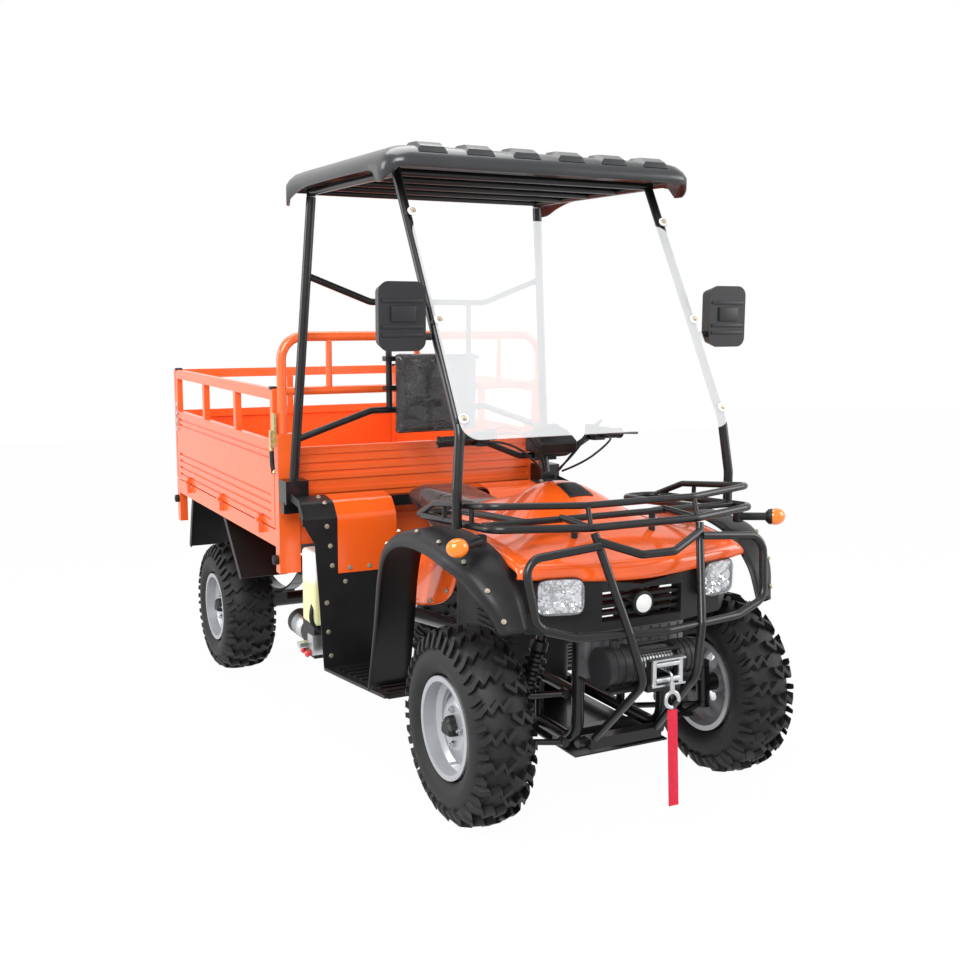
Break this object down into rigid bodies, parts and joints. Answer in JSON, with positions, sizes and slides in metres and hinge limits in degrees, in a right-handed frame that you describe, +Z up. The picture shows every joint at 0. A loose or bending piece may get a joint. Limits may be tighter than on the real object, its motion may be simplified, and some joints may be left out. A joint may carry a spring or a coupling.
{
  "type": "quad bike",
  "caption": "Farm quad with a canopy, clear windscreen, front winch and a tipping drop-side cargo bed with a tall headboard.",
  "frame": {"origin": "on the ground, under the middle of the vehicle's box", "axes": "+Z up, -Y towards the nose, +X towards the vehicle's left side"},
  "size_m": [1.428, 3.5824, 2.2421],
  "materials": {
    "tyre_rubber": "matt black, blocky lugs",
    "rim_steel": "silver",
    "black_steel": "satin black paint",
    "cast_block": "dark castings",
    "orange_plastic": "gloss red-orange",
    "orange_steel": "gloss red-orange paint",
    "black_plastic": "grained black",
    "grey_plastic": "dark grey moulding",
    "lamp_clear": "clear lens over a bright reflector",
    "screen_clear": "clear sheet",
    "amber_lens": "amber lens",
    "vinyl": "black vinyl",
    "webbing": "red webbing",
    "bright_steel": "plain steel",
    "cooler_alloy": "grey finned alloy",
    "tank_plastic": "milky tank",
    "zinc_steel": "yellow zinc"
  },
  "bodies": {
    "chassis": {"front_arms": "black_steel", "front_shocks": "black_steel", "rear_axle": "black_steel", "leaf_springs": "black_steel", "frame": "black_steel", "bull_bar": "black_steel", "front_rack": "black_steel", "canopy_frame": "black_steel", "rear_hoop": "black_steel", "winch": "black_steel", "pump_motor": "black_steel", "engine": "cast_block", "hood": "orange_plastic", "side_covers": "orange_plastic", "front_fascia": "black_plastic", "front_fenders": "black_plastic", "leg_shields": "black_plastic", "roof": "grey_plastic", "mirrors": "grey_plastic", "headlamps": "lamp_clear", "windscreen": "screen_clear", "indicators": "amber_lens", "saddle": "vinyl", "backrest": "vinyl", "hook_strap": "webbing", "fairlead": "bright_steel", "winch_hook": "bright_steel", "oil_cooler": "cooler_alloy", "hydraulic_tank": "tank_plastic"},
    "steering": {"handlebar": "black_steel", "instrument_pod": "black_plastic"},
    "knuckle_right": {"knuckle_right": "black_steel"},
    "knuckle_left": {"knuckle_left": "black_steel"},
    "wheel_front_right": {"tyre_front_right": "tyre_rubber", "rim_front_right": "rim_steel"},
    "wheel_front_left": {"tyre_front_left": "tyre_rubber", "rim_front_left": "rim_steel"},
    "wheel_rear_right": {"tyre_rear_right": "tyre_rubber", "rim_rear_right": "rim_steel"},
    "wheel_rear_left": {"tyre_rear_left": "tyre_rubber", "rim_rear_left": "rim_steel"},
    "bed": {"bed_floor": "orange_steel", "headboard": "orange_steel", "mudguards": "black_plastic", "gate_latches": "zinc_steel"},
    "gate_right": {"gate_right": "orange_steel", "gate_right_rails": "orange_steel"},
    "gate_left": {"gate_left": "orange_steel", "gate_left_rails": "orange_steel"},
    "tailgate": {"tailgate": "orange_steel", "tailgate_rails": "orange_steel"},
    "ram_barrel": {"cylinder_barrel": "black_steel"},
    "ram_rod": {"cylinder_rod": "bright_steel"}
  },
  "joints": [
    {"name": "steering_turn", "type": "hinge", "parent": "chassis", "child": "steering", "pos_m": [0, -1.04184, 1.12294], "axis": [0, 0.1667, 0.986], "range_deg": [-35, 35]},
    {"name": "kingpin_right", "type": "hinge", "parent": "chassis", "child": "knuckle_right", "pos_m": [-0.43, -1.37964, 0.3175], "axis": [0, 0, 1], "range_deg": [-30, 30]},
    {"name": "wheel_spin_front_right", "type": "hinge", "parent": "knuckle_right", "child": "wheel_front_right", "pos_m": [-0.4975, -1.37964, 0.3175], "axis": [1, 0, 0], "continuous": true},
    {"name": "wheel_spin_rear_right", "type": "hinge", "parent": "chassis", "child": "wheel_rear_right", "pos_m": [-0.521, 1.13222, 0.3175], "axis": [1, 0, 0], "continuous": true},
    {"name": "kingpin_left", "type": "hinge", "parent": "chassis", "child": "knuckle_left", "pos_m": [0.43, -1.37964, 0.3175], "axis": [0, 0, 1], "range_deg": [-30, 30]},
    {"name": "wheel_spin_front_left", "type": "hinge", "parent": "knuckle_left", "child": "wheel_front_left", "pos_m": [0.4975, -1.37964, 0.3175], "axis": [1, 0, 0], "continuous": true},
    {"name": "wheel_spin_rear_left", "type": "hinge", "parent": "chassis", "child": "wheel_rear_left", "pos_m": [0.521, 1.13222, 0.3175], "axis": [1, 0, 0], "continuous": true},
    {"name": "bed_tilt", "type": "hinge", "parent": "chassis", "child": "bed", "pos_m": [0, 1.54794, 0.74588], "axis": [-1, 0, 0], "range_deg": [0, 40]},
    {"name": "gate_right_drop", "type": "hinge", "parent": "bed", "child": "gate_right", "pos_m": [-0.648, 0.90955, 0.86157], "axis": [0, -0.9977, -0.0683], "range_deg": [0, 180]},
    {"name": "gate_left_drop", "type": "hinge", "parent": "bed", "child": "gate_left", "pos_m": [0.648, 0.90955, 0.86157], "axis": [0, 0.9977, 0.0683], "range_deg": [0, 180]},
    {"name": "tailgate_drop", "type": "hinge", "parent": "bed", "child": "tailgate", "pos_m": [0, 1.77952, 0.9211], "axis": [-1, 0, 0], "range_deg": [0, 90]},
    {"name": "ram_swing", "type": "hinge", "parent": "chassis", "child": "ram_barrel", "pos_m": [0, 0.31131, 0.5079], "axis": [1, 0, 0], "range_deg": [0, 22]},
    {"name": "ram_stroke", "type": "slide", "parent": "ram_barrel", "child": "ram_rod", "axis": [0, 0.937, 0.3492], "range_m": [0, 0.35]}
  ],
  "couplings": [
    {"joint": "kingpin_right", "follows": "steering_turn", "ratio": 0.85},
    {"joint": "kingpin_left", "follows": "steering_turn", "ratio": 0.85},
    {"joint": "ram_swing", "follows": "bed_tilt", "ratio": 0.52505},
    {"joint": "ram_stroke", "follows": "bed_tilt", "m_per_rad": 0.49089}
  ]
}
